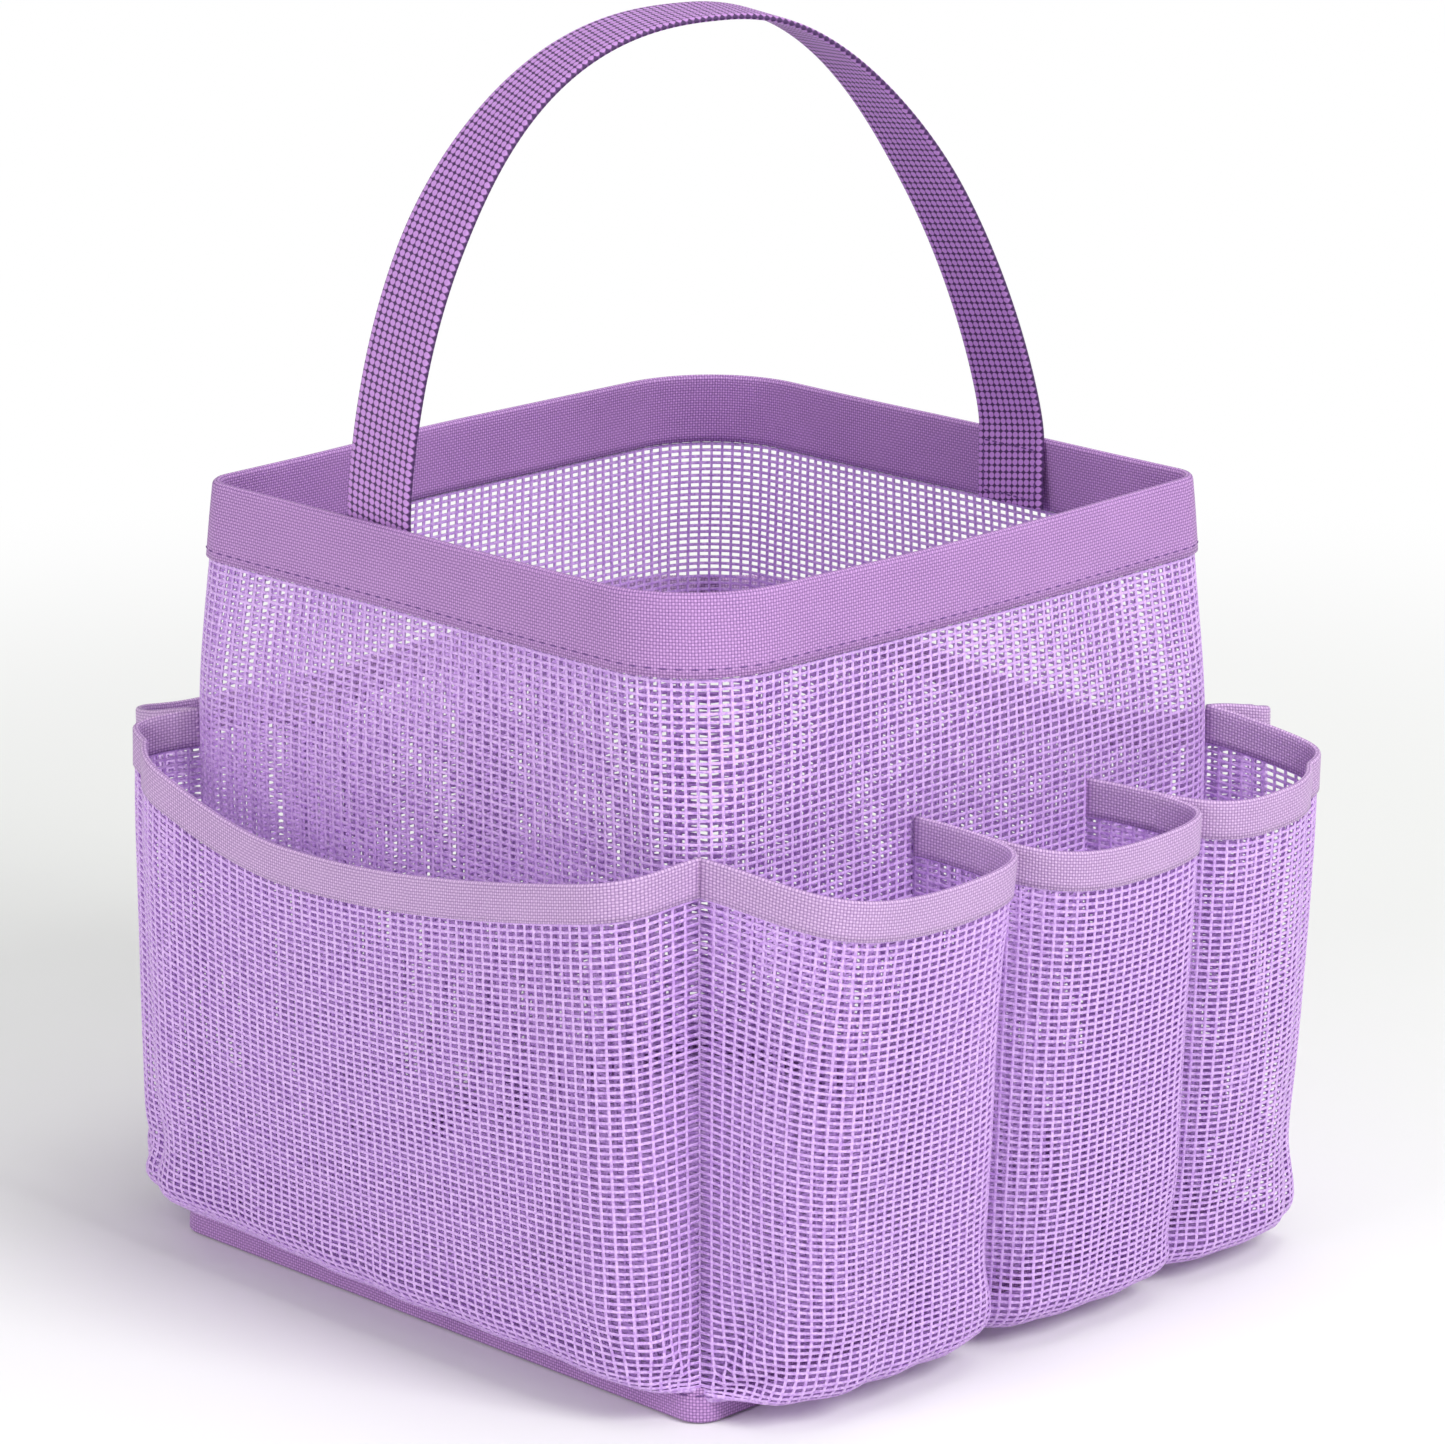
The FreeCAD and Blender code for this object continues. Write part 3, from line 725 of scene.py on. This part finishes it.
@dataclass
class Pocket:
    """One outside pocket: a bulging mesh bag and the tape along its mouth."""

    name: str
    side: Side
    left: float
    right: float
    form: WallForm
    yarn: bpy.types.Material
    tape: bpy.types.Material
    bulge: float = 36.0 * MM
    bulge_low: float = 27.0 * MM
    squareness: float = 3.3
    belly_shift: float = 0.0
    waist: float = 0.0
    spread: float = 0.0
    tops: tuple[float, float] = (158.0 * MM, 158.0 * MM)
    sag: float = 9.0 * MM
    sag_at: float = 0.5
    sag_power: tuple[float, float] = (1.3, 1.3)
    hem_height: float = 10.0 * MM
    floor: tuple[float, float] = (3.0 * MM, 3.0 * MM)
    tuck: float = 6.0 * MM
    fold: float = 9.0 * MM
    folds: float = 9.0
    gather_reach: float = 36.0 * MM
    gather_depth: float = 4.2 * MM
    cell: tuple[float, float] = (3.3 * MM, 2.1 * MM)
    strand: float = 0.74 * MM
    mesh_depth: float = 0.62 * MM
    tape_depth: float = 0.6 * MM
    outline: list[Vector] = field(default_factory=list)
    lengths: list[float] = field(default_factory=list)
    samples: int = 200

    def __post_init__(self) -> None:
        """Measure the mouth's outline, so that cells can be spaced evenly along it."""
        self.outline = [self.oval(step / self.samples) for step in range(self.samples + 1)]
        scaled = [Vector((x * (self.half + self.spread * y) + self.belly_shift * y,
                          y * self.bulge)) for x, y in self.outline]
        self.lengths = [0.0]
        for before, after in zip(scaled, scaled[1:]):
            self.lengths.append(self.lengths[-1] + (after - before).length)

    @property
    def top(self) -> float:
        """The height of the mouth at its seams, on average."""
        return sum(self.tops) / 2

    @property
    def half(self) -> float:
        """Half the pocket's width between its seams."""
        return (self.right - self.left) / 2

    @property
    def reach(self) -> float:
        """The distance of the wall's face from the middle."""
        return self.form.half_low[1 if self.side.wide else 0]

    @property
    def half_run(self) -> float:
        """Half the wall's length along this side."""
        return self.form.half_low[0 if self.side.wide else 1]

    @property
    def outline_length(self) -> float:
        """The length of the pocket's cloth from seam to seam."""
        return self.lengths[-1]

    def oval(self, turn: float) -> Vector:
        """A point of the unit outline, from the left seam at 0 to the right at 1."""
        angle = turn * math.pi
        power = 2 / self.squareness
        cosine, sine = math.cos(angle), max(0.0, math.sin(angle))
        return Vector((-math.copysign(abs(cosine) ** power, cosine), sine ** power))

    def spaced(self, share: float) -> Vector:
        """The unit outline's point at a share of its length."""
        target = clamp(share) * self.lengths[-1]
        index = min(self.samples, max(1, bisect.bisect_left(self.lengths, target)))
        before, after = self.lengths[index - 1], self.lengths[index]
        part = 0.0 if after <= before else (target - before) / (after - before)
        return self.outline[index - 1].lerp(self.outline[index], part)

    def mouth(self, share: float) -> float:
        """The height of the hem's top edge at a share of the way along it."""
        share = clamp(share)
        if share < self.sag_at:
            dip = math.sin(share / self.sag_at * math.pi / 2) ** self.sag_power[0]
        else:
            dip = math.sin((1 - share) / (1 - self.sag_at) * math.pi / 2) ** self.sag_power[1]
        return lerp(*self.tops, share) - self.sag * dip

    def wall_reach(self, along: float, height: float) -> float:
        """How far out the wall's face is at a place along the side."""
        radius = self.form.corner(height)
        seam = self.half_run - self.form.inset(height)
        past = min(abs(along), seam) - (self.half_run - radius)
        drop = 0.0 if past <= 0 else radius - math.sqrt(radius ** 2 - past ** 2)
        return self.reach - drop

    def seam(self, place: float, height: float) -> float:
        """A seam's place at a height: the seam at a corner follows the corner."""
        if abs(place) < self.half_run - self.form.corner_low:
            return place
        return math.copysign(self.half_run - self.form.inset(height), place)

    def skin(self, share: float, height: float, depth: float = 1.0) -> Vector:
        """A point of the bag's face in the side's own (along, outward) plane."""
        across, out = self.spaced(share)
        left, right = self.seam(self.left, height), self.seam(self.right, height)
        rise = clamp((height - self.floor[0]) / (self.top - self.floor[0]))
        bulge = lerp(self.bulge_low, self.bulge, 1 - (1 - rise) ** 2.2)
        wide = (right - left) / 2 + self.spread * out * (2 - rise)
        shift = self.belly_shift * (1 - self.waist * math.sin(rise * math.pi)) * out
        along = lerp(lerp(left, right, share), (left + right) / 2 + wide * across + shift, depth)
        clear = 1.2 * MM * (1 - math.exp(-bulge * out * depth / (2 * MM)))
        return Vector((along, self.wall_reach(along, height) + clear + bulge * out * depth))

    def at(self, share: float, height: float, depth: float = 1.0, out: float = 0.0) -> Vector:
        """A point of the bag.

        Args:
            share: From 0 at the left seam to 1 at the right.
            height: Its height.
            depth: How much of the bulge it has, which is less than 1 on the floor.
            out: How far outside the cloth's middle it is.

        Returns:
            The point.
        """
        step = 0.004
        here = self.skin(share, height, depth)
        ahead = self.skin(min(1.0, share + step), height, depth)
        behind = self.skin(max(0.0, share - step), height, depth)
        run = (ahead - behind).normalized()
        outward = Vector((-run.y, run.x))
        here = here + outward * (out + self.crease(share, height, depth))
        return self.side.world(here.x, here.y, height)

    def crease(self, share: float, height: float, depth: float) -> float:
        """The small folds of slack cloth, deepest near the floor."""
        seams = math.sin(clamp(share) * math.pi)
        seed = 3.1 * self.side.value + 40 * self.left
        broad = noise.noise(Vector((share * 3.0, height * 16.0, seed))) * 1.6 * MM
        low = math.exp(-((height - self.floor[0]) / (24 * MM)) ** 2)
        fine = noise.noise(Vector((share * 13.0, height * 40.0, seed + 7))) * 1.8 * MM * low
        top = ease((self.mouth(share) - height) / (30 * MM))
        gathers = self.gathers(share, height, seed)
        return (broad * top + fine + gathers) * seams ** 0.5 * min(1.0, depth * 2)

    def gathers(self, share: float, height: float, seed: float) -> float:
        """The short folds that fan out of both bottom corners, where the cloth is drawn in."""
        total = 0.0
        for end, floor in zip((0.0, 1.0), self.floor):
            run = abs(share - end) * self.outline_length
            rise = max(0.0, height - floor)
            away = math.hypot(run, rise)
            fan = math.sin(math.atan2(rise, run + 0.5 * MM) * self.folds + seed + 2.0 * end)
            reach = math.exp(-(away / self.gather_reach) ** 2) * ease(away / (9 * MM))
            total -= (0.6 + fan) / 1.6 * reach * self.gather_depth
        return total

    def build(self) -> None:
        """Build and dress the bag and its hem."""
        self.make_mesh()
        self.make_hem()

    def drop(self, share: float, down: float) -> tuple[float, float]:
        """The (height, depth) at a share of the way down the bag.

        Args:
            share: The place along the outline.
            down: From 0 at the hem to 1 at the bottom seam on the wall.

        Returns:
            The height and the share of the bulge.
        """
        floor = lerp(self.floor[0], self.floor[1], share)
        bend = floor + self.fold
        straight = self.top - self.sag / 2 - bend
        arc = self.fold * math.pi / 2
        rest = max(2 * MM, self.bulge_low - self.fold)
        whole = straight + arc + rest
        first, second = straight / whole, (straight + arc) / whole
        if down <= first:
            top = self.mouth(share) - self.hem_height * 0.7
            return lerp(top, bend, down / first), 1.0
        ratio = self.fold / self.bulge_low
        if down <= second:
            angle = (down - first) / (second - first) * math.pi / 2
            return bend - self.fold * math.sin(angle), 1 - ratio * (1 - math.cos(angle))
        part = (down - second) / (1 - second)
        return lerp(floor, self.tuck, ease(part)), lerp(1 - ratio, 0.04, part)

    def make_mesh(self) -> None:
        """Knit the bag."""
        length = (self.top - self.sag / 2 - self.floor[0] - self.fold
                  + self.fold * math.pi / 2 + self.bulge_low - self.fold)
        width = self.outline_length
        columns, rows = round(width / self.cell[0]), round(length / self.cell[1])

        def place(across: float, up: float) -> Vector:
            """A point of the bag."""
            height, depth = self.drop(across, 1 - up)
            return self.at(across, height, depth)

        sheet = laid_grid(columns, rows, (width, length), place)
        open_cells(sheet, self.strand)
        piece = as_piece(f"{self.name}_bag", sheet, self.yarn, [f"{self.name}_mesh"])
        thicken(piece, self.mesh_depth)

    def make_hem(self) -> None:
        """Fold the tape over the bag's mouth."""
        outer, inner = 0.65 * MM, -0.65 * MM
        drops = [self.hem_height * (1 - step / 5) for step in range(6)]
        profile = [(outer, -drop) for drop in drops]
        profile += [(outer * math.cos(a), outer * math.sin(a))
                    for a in (math.pi * step / 4 for step in range(1, 4))]
        profile += [(inner, -drop) for drop in reversed(drops)]
        rows = len(profile) - 1
        steps = [math.dist(a, b) for a, b in zip(profile, profile[1:])]
        width = sum(steps)
        reached = [sum(steps[:row]) for row in range(rows + 1)]
        columns = round(self.outline_length / (1.6 * MM))

        def place(across: float, along: float) -> Vector:
            """A point of the tape."""
            out, rise = profile[round(along * rows)]
            return self.at(across, self.mouth(across) - 0.8 * MM + rise, 1.0, out)

        sheet = laid_grid(columns, rows, (self.outline_length, width), place)
        uv = sheet.loops.layers.uv.active
        for face in sheet.faces:
            for loop in face.loops:
                loop[uv].uv.y = reached[round(loop[uv].uv.y / width * rows)]
        piece = as_piece(f"{self.name}_hem_tape", sheet, self.tape, [f"{self.name}_hem"])
        thicken(piece, self.tape_depth)


@dataclass
class PocketSet:
    """All eight pockets, the tacks at their corners and the dividers' thread."""

    form: WallForm
    yarn: bpy.types.Material
    tape: bpy.types.Material
    thread: bpy.types.Material
    seam_top: float = 158.0 * MM
    dividers: tuple[float, float] = (-26.0 * MM, 44.0 * MM)
    divider_tops: tuple[float, float] = (154.0 * MM, 150.0 * MM)
    pushed: tuple[float, float, float] = (11.0 * MM, 16.0 * MM, 15.0 * MM)
    waists: tuple[float, float, float] = (0.6, 0.15, 0.1)
    floors: tuple[float, float, float, float] = (8.0 * MM, 5.0 * MM, 6.0 * MM, 5.0 * MM)

    def build(self) -> None:
        """Build and dress every pocket."""
        shared = {"form": self.form, "yarn": self.yarn, "tape": self.tape}
        inset = self.form.inset(self.seam_top)
        wide_seam = self.form.half_low[0] - inset
        deep_seam = self.form.half_low[1] - inset
        for side in (Side.FRONT, Side.BACK):
            Pocket(f"{side.name.lower()}_pocket", side, -wide_seam, wide_seam, bulge=21.5 * MM,
                   bulge_low=17.0 * MM, squareness=7.0, spread=4.0 * MM,
                   belly_shift=-9.0 * MM, sag=20.0 * MM,
                   sag_at=0.4, sag_power=(1.7, 1.2), floor=(12.0 * MM, 9.0 * MM),
                   tuck=10.0 * MM, fold=12.0 * MM, **shared).build()
        seams = (-deep_seam, *self.dividers, deep_seam)
        tops = (self.seam_top, *self.divider_tops, self.seam_top)
        for side in (Side.RIGHT, Side.LEFT):
            filled = side is Side.RIGHT
            for number in range(3):
                Pocket(f"{side.name.lower()}_pocket_{number + 1}", side,
                       *seams[number:number + 2], tops=tops[number:number + 2],
                       floor=self.floors[number:number + 2],
                       belly_shift=self.pushed[number] if filled else 3.0 * MM,
                       waist=self.waists[number] if filled else 0.0,
                       squareness=4.6 if filled else 3.3,
                       bulge=37.0 * MM if filled else 33.0 * MM, sag=7.5 * MM,
                       **shared).build()
        self.make_tacks(wide_seam, deep_seam)
        self.make_divider_lines()

    def make_tacks(self, wide_seam: float, deep_seam: float) -> None:
        """Close the corners between neighbouring hems with zigzag tacks."""
        stitches = []
        for side_x, side_y in ((1, -1), (1, 1), (-1, 1), (-1, -1)):
            outward = Vector((side_x, side_y, 0)).normalized()
            across = Vector((-outward.y, outward.x, 0))
            foot = Vector((wide_seam * side_x, deep_seam * side_y, 0)) + outward * 1.0 * MM
            for row in range(9):
                lean = 0.45 * MM if row % 2 else -0.45 * MM
                middle = foot + Vector((0, 0, self.seam_top - (1.2 + row) * MM))
                stitches.append(Stitch(middle, across + Vector((0, 0, lean / MM)), outward,
                                       2.6 * MM))
        as_piece("pocket_corner_tacks", sew(stitches), self.thread,
                 ["pocket_bar_tacks"])

    def make_divider_lines(self) -> None:
        """Sew the narrow pockets' inner seams to the wall."""
        stitches = []
        for side in (Side.RIGHT, Side.LEFT):
            for divider in self.dividers:
                reach = self.form.half_low[0] - 1.2 * MM
                for row in range(34):
                    height = 6 * MM + row * 4.2 * MM
                    middle = side.world(divider, reach, height)
                    inward = side.world(0.0, -1.0, 0.0)
                    stitches.append(Stitch(middle, Vector((0, 0, 1)), inward, 2.8 * MM))
        as_piece("pocket_divider_stitches", sew(stitches), self.thread,
                 ["pocket_divider_threads"])


# ------------------------------------------------------------------ handle

@dataclass
class Handle:
    """One strap of webbing, sewn inside the band at both ends."""

    webbing: bpy.types.Material
    thread: bpy.types.Material
    width: float = 25.0 * MM
    depth: float = 1.5 * MM
    shift: float = 27.0 * MM
    face: float = 99.2 * MM
    foot: float = 205.0 * MM
    spring: float = 226.0 * MM
    top: float = 358.2 * MM
    column: float = 2.27 * MM
    row: float = 2.05 * MM
    slant: float = 0.16
    ridge: float = 0.3 * MM
    twist_from: float = 300.0 * MM
    near_lean: float = 0.17
    far_lean: float = 0.34
    tilt: float = -2.0 * MM
    line: list[tuple[Vector, float]] = field(default_factory=list)

    def __post_init__(self) -> None:
        """Measure the strap's line once."""
        points = []
        for step in range(25):
            points.append(Vector((-self.span, lerp(self.foot, self.spring, step / 24))))
        points += [self.arch(step / 400) for step in range(1, 400)]
        for step in range(25):
            points.append(Vector((self.span, lerp(self.spring, self.foot, step / 24))))
        reached = 0.0
        self.line = [(points[0], 0.0)]
        for before, after in zip(points, points[1:]):
            reached += (after - before).length
            self.line.append((after, reached))

    def arch(self, turn: float) -> Vector:
        """A point of the arch in its own plane, from the front end at 0 to the back at 1."""
        cosine, rise = math.cos(turn * math.pi), math.sin(turn * math.pi)
        lean = (self.near_lean if cosine > 0 else self.far_lean) * rise * rise / (rise + 0.08)
        run = self.span * (1 - lean) * (1 - rise ** 2.6) ** 0.42
        across = -math.copysign(run, cosine) + self.tilt * rise
        return Vector((across, self.spring + (self.top - self.spring) * rise))

    @property
    def span(self) -> float:
        """Half the distance between the two ends."""
        return math.hypot(self.shift, self.face)

    @property
    def length(self) -> float:
        """The strap's whole length."""
        return self.line[-1][1]

    def centre(self, along: float) -> Vector:
        """A point of the centreline in the arch's own (run, height) plane."""
        target = clamp(along) * self.length
        index = min(len(self.line) - 1,
                    max(1, bisect.bisect_left(self.line, target, key=lambda item: item[1])))
        (before, low), (after, high) = self.line[index - 1], self.line[index]
        return before.lerp(after, (target - low) / max(1e-9, high - low))

    def section(self, around: float) -> tuple[float, float, float]:
        """The strap's flat section.

        Args:
            around: A share of the way round it.

        Returns:
            The place across, the place through, and 1 on a broad face or less at an edge.
        """
        half, radius = self.width / 2, self.depth / 2
        flat = 2 * (half - radius)
        arc = math.pi * radius
        run = (around % 1.0) * 2 * (flat + arc)
        back = run >= flat + arc
        run -= (flat + arc) if back else 0.0
        turned = -1.0 if back else 1.0
        if run <= flat:
            edge = min(run, flat - run) / (0.8 * MM)
            return turned * (run - flat / 2), turned * radius, min(1.0, edge)
        angle = (run - flat) / radius
        across = flat / 2 + radius * math.sin(angle)
        return turned * across, turned * radius * math.cos(angle), 0.0

    def weave(self, across: float, along: float) -> float:
        """The height of the yarns, from 0 in the gap where four meet to 1."""
        across += self.width / 2
        ridge = abs(math.sin(across / self.column * math.pi))
        beat = abs(math.sin((along + across * self.slant) / self.row * math.pi))
        return 1 - (1 - ridge) * (1 - beat)

    def build(self) -> None:
        """Build and dress the strap and the thread at its ends."""
        ahead = Vector((self.shift, self.face, 0)).normalized()

        def place(around: float, along: float) -> Vector:
            """A point of the strap."""
            here = self.centre(along)
            tangent = (self.centre(min(1.0, along + 0.002)) -
                       self.centre(max(0.0, along - 0.002))).normalized()
            twist = ease((here.y - self.twist_from) / (self.top - self.twist_from))
            flat_ahead = Vector((0.0, 1.0, 0.0)).lerp(ahead, twist).normalized()
            across_axis = Vector((flat_ahead.y, -flat_ahead.x, 0.0))
            forward = flat_ahead * tangent.x + Vector((0, 0, tangent.y))
            normal = across_axis.cross(forward).normalized()
            across, through, broad = self.section(around)
            lift = self.ridge * (self.weave(across, along * self.length) - 0.5) * broad
            through += math.copysign(lift, through)
            spot = ahead * here.x + Vector((0, 0, here.y))
            return spot + across_axis * across + normal * through

        round_length = 2 * (self.width - self.depth) + math.pi * self.depth
        columns, rows = 96, round(self.length / self.row * 4)
        shape = laid_grid(columns, rows, (round_length, self.length), place)
        uv = shape.loops.layers.uv.active
        for face in shape.faces:
            for loop in face.loops:
                across, _, _ = self.section(loop[uv].uv.x / round_length)
                loop[uv].uv.x = across + self.width / 2
        bmesh.ops.remove_doubles(shape, verts=shape.verts, dist=0.01 * MM)
        rims = [edge for edge in shape.edges if edge.is_boundary]
        bmesh.ops.holes_fill(shape, edges=rims, sides=0)
        bmesh.ops.recalc_face_normals(shape, faces=shape.faces)
        piece = as_piece("handle_webbing", shape, self.webbing,
                         ["handle_strap", "front_handle_end", "back_handle_end"], body="")
        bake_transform(piece)
        self.make_end_stitches()

    def make_end_stitches(self) -> None:
        """Sew each end down with a box of stitches."""
        half = self.width / 2 - 2.5 * MM
        low, high = self.foot + 2.5 * MM, self.foot + 17.5 * MM
        for name, facing in (("front", -1), ("back", 1)):
            face = (self.face - self.depth / 2 - 0.25 * MM) * facing
            inward = Vector((0, -facing, 0))
            middle = self.shift * facing
            stitches = []
            for index in range(7):
                x = middle + lerp(-half, half, (index + 0.5) / 7)
                for height in (low, high):
                    stitches.append(Stitch(Vector((x, face, height)), Vector((1, 0, 0)), inward,
                                           2.1 * MM))
            for index in range(5):
                height = lerp(low, high, (index + 0.5) / 5)
                for x in (middle - half, middle + half):
                    stitches.append(Stitch(Vector((x, face, height)), Vector((0, 0, 1)), inward,
                                           2.1 * MM))
            as_piece(f"{name}_handle_stitches", sew(stitches), self.thread,
                     [f"{name}_handle_stitching"])


# ------------------------------------------------------------------ studio

@dataclass
class Studio:
    """The camera, the lamps, the world and the floor."""

    azimuth: float = 44.82
    elevation: float = 16.23
    distance: float = 1.788
    lens: float = 155.9
    aim_right: float = 5.15 * MM
    aim_height: float = 153.39 * MM

    def build(self) -> None:
        """Set everything up."""
        scene = bpy.context.scene
        scene.view_settings.view_transform = "Standard"
        self.make_camera(scene)
        self.make_world(scene)
        self.make_floor()
        self.make_lamp("key", (1.6, 0.1, 1.3), 0.8, 24.0)
        self.make_lamp("fill", (-0.2, -1.9, 0.8), 1.1, 15.0)
        self.make_lamp("above", (0.3, 0.3, 1.9), 1.1, 10.0)

    def make_camera(self, scene: bpy.types.Scene) -> None:
        """Place the camera."""
        turn, lift = math.radians(self.azimuth), math.radians(self.elevation)
        right = Vector((math.cos(turn), math.sin(turn), 0.0))
        back = Vector((math.sin(turn) * math.cos(lift), -math.cos(turn) * math.cos(lift),
                       math.sin(lift)))
        data = bpy.data.cameras.new("camera")
        data.lens, data.sensor_width, data.sensor_fit = self.lens, 36.0, "HORIZONTAL"
        camera = bpy.data.objects.new("camera", data)
        scene.collection.objects.link(camera)
        aim = right * self.aim_right + Vector((0, 0, self.aim_height))
        axes = Matrix((right, back.cross(right), back)).transposed().to_4x4()
        camera.matrix_world = Matrix.Translation(aim + back * self.distance) @ axes
        scene.camera = camera

    def make_world(self, scene: bpy.types.Scene) -> None:
        """Light the object softly and show white behind it."""
        world = bpy.data.worlds.new("studio")
        scene.world = world
        world.use_nodes = True
        tree = world.node_tree
        tree.nodes.clear()
        path = tree.nodes.new("ShaderNodeLightPath")
        soft, white = (tree.nodes.new("ShaderNodeBackground") for _ in range(2))
        soft.inputs[0].default_value = (1.0, 1.0, 1.0, 1.0)
        soft.inputs[1].default_value = 0.44
        white.inputs[0].default_value = (1.0, 1.0, 1.0, 1.0)
        white.inputs[1].default_value = 1.0
        mix = tree.nodes.new("ShaderNodeMixShader")
        out = tree.nodes.new("ShaderNodeOutputWorld")
        tree.links.new(path.outputs["Is Camera Ray"], mix.inputs[0])
        tree.links.new(soft.outputs[0], mix.inputs[1])
        tree.links.new(white.outputs[0], mix.inputs[2])
        tree.links.new(mix.outputs[0], out.inputs[0])

    def make_floor(self) -> None:
        """Lay the floor."""
        shape = bmesh.new()
        bmesh.ops.create_grid(shape, x_segments=8, y_segments=8, size=9.0)
        for vert in shape.verts:
            vert.co.z = -0.15 * MM
        mesh = bpy.data.meshes.new("floor")
        shape.to_mesh(mesh)
        shape.free()
        mesh.materials.append(StudioFloor().material())
        floor = bpy.data.objects.new("floor", mesh)
        bpy.context.scene.collection.objects.link(floor)

    def make_lamp(self, name: str, spot: tuple[float, float, float], size: float,
                  power: float) -> None:
        """Hang one soft square lamp that looks at the middle of the object."""
        data = bpy.data.lights.new(name, "AREA")
        data.size, data.energy = size, power
        lamp = bpy.data.objects.new(name, data)
        bpy.context.scene.collection.objects.link(lamp)
        away = Vector(spot) - Vector((0, 0, self.aim_height))
        lamp.matrix_world = Matrix.Translation(spot) @ away.to_track_quat("Z", "Y").to_matrix().to_4x4()


# ------------------------------------------------------------------ the whole caddy


def main() -> None:
    """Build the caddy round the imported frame, dress it and light it."""
    logging.basicConfig(level=logging.INFO, format="%(name)s %(message)s")
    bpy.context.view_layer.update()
    yarn, tape = CoatedYarn().material(), WovenTape().material()
    thread = SewingThread().material()
    # The hem tape's first colour is its yarns; the second is the painted shade in the pits between them.
    hem_tape = WovenTape("hem_tape", srgb(222, 188, 230), srgb(126, 86, 150)).material()
    form = WallForm()
    Body(form, yarn, tape, thread).build()
    PocketSet(form, yarn, hem_tape, thread).build()
    Handle(Webbing().material(), thread).build()
    Studio().build()


if __name__ == "__main__":
    main()
